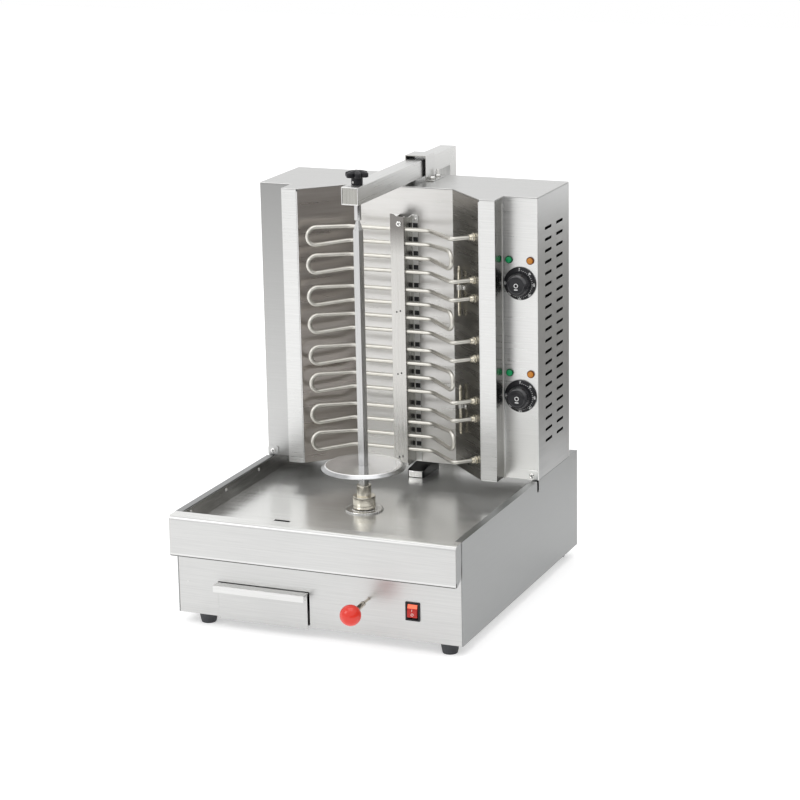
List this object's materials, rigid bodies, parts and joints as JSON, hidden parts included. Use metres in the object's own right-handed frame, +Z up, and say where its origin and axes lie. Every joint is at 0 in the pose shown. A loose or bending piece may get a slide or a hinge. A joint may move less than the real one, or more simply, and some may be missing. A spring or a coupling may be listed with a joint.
{
  "type": "vertical rotisserie broiler",
  "caption": "Counter-top electric broiler with an upright motor-driven spit and drip disc in front of sheathed heating elements in a concave reflector tower, over a drip tray with a drawer.",
  "frame": {"origin": "middle of the whole object's footprint box, on the plane the rubber feet stand on", "axes": "+X to the right as the user faces the controls, +Y from the drawer side to the rear post, +Z up"},
  "size_m": [0.58, 0.792, 0.8485],
  "materials": {
    "panel_steel": "brushed stainless sheet, satin",
    "reflector_steel": "bright rolled stainless sheet",
    "bright_steel": "bright stainless",
    "hidden_steel": "plain zinc-plated steel inside the base",
    "chrome_plate": "polished plating",
    "element_sheath": "satin stainless sheath, slightly warm",
    "gland_brass": "turned brass",
    "bulb_brass": "drawn tube, slightly tarnished",
    "foot_rubber": "moulded rubber, matt",
    "black_plastic": "moulded, satin",
    "switch_red": "translucent red moulding, lit",
    "ball_red": "polished ball",
    "lamp_green": "clear moulded lens",
    "lamp_amber": "clear moulded lens",
    "motor_aluminium": "cast, satin",
    "white_print": "printed marks"
  },
  "bodies": {
    "base_unit": {"base_side_right": "panel_steel", "base_side_left": "panel_steel", "lower_front_panel": "panel_steel", "base_back_panel": "panel_steel", "bottom_plate": "hidden_steel", "drip_tray": "panel_steel", "drawer_runner_left": "hidden_steel", "drawer_runner_right": "hidden_steel", "foot_front_left": "foot_rubber", "foot_front_right": "foot_rubber", "foot_rear_left": "foot_rubber", "foot_rear_right": "foot_rubber", "switch_housing": "black_plastic", "cable_gland": "black_plastic", "slide_rail_right": "hidden_steel", "slide_rail_left": "hidden_steel", "tower_side_right": "panel_steel", "tower_side_left": "panel_steel", "tower_back_pan": "panel_steel", "tower_top": "panel_steel", "front_panel_left": "panel_steel", "control_panel": "panel_steel", "front_strip_right": "panel_steel", "front_strip_left": "panel_steel", "reflector": "reflector_steel", "element_glands": "gland_brass", "heating_element_1": "element_sheath", "heating_element_2": "element_sheath", "heating_element_3": "element_sheath", "heating_element_4": "element_sheath", "comb_bracket": "bright_steel", "clamp_bar": "bright_steel", "thermostat_bulb_upper": "bulb_brass", "thermostat_bulb_lower": "bulb_brass", "bulb_clip_upper": "bright_steel", "bulb_clip_lower": "bright_steel", "thermostat_upper": "motor_aluminium", "thermostat_lower": "motor_aluminium", "lamp_green_upper": "lamp_green", "lamp_green_lower": "lamp_green", "lamp_amber_upper": "lamp_amber", "lamp_amber_lower": "lamp_amber", "arm_guide": "panel_steel", "wiring_duct": "bright_steel"},
    "drawer": {"drip_drawer": "panel_steel"},
    "rocker": {"switch_rocker": "switch_red"},
    "knob_upper_body": {"knob_upper": "black_plastic"},
    "knob_lower_body": {"knob_lower": "black_plastic"},
    "carriage": {"carriage_plate": "hidden_steel", "gear_motor": "motor_aluminium", "lever_rod": "chrome_plate", "lever_ball": "ball_red", "arm_tube": "panel_steel", "rear_post": "panel_steel", "slot_cover": "chrome_plate"},
    "spit": {"drive_socket": "chrome_plate", "spit_bar": "bright_steel", "drip_disc": "bright_steel"},
    "top_pivot": {"pivot_pin": "chrome_plate", "star_knob": "black_plastic"}
  },
  "joints": [
    {"name": "drawer_slide", "type": "slide", "parent": "base_unit", "child": "drawer", "axis": [0, -1, 0], "range_m": [0, 0.13]},
    {"name": "rocker_tilt", "type": "hinge", "parent": "base_unit", "child": "rocker", "pos_m": [0.1918, -0.285, 0.0786], "axis": [1, 0, 0], "range_deg": [0, 20]},
    {"name": "knob_upper_turn", "type": "hinge", "parent": "base_unit", "child": "knob_upper_body", "pos_m": [0.2546, 0.1185, 0.6115], "axis": [0, 1, 0], "range_deg": [0, 270]},
    {"name": "knob_lower_turn", "type": "hinge", "parent": "base_unit", "child": "knob_lower_body", "pos_m": [0.2546, 0.1185, 0.3893], "axis": [0, 1, 0], "range_deg": [0, 270]},
    {"name": "carriage_slide", "type": "slide", "parent": "base_unit", "child": "carriage", "axis": [0, -1, 0], "range_m": [-0.012, 0.012]},
    {"name": "spit_spin", "type": "hinge", "parent": "carriage", "child": "spit", "pos_m": [0, -0.065, 0.222], "axis": [0, 0, 1], "continuous": true},
    {"name": "pivot_lift", "type": "slide", "parent": "carriage", "child": "top_pivot", "axis": [0, 0, 1], "range_m": [0, 0.03]}
  ]
}
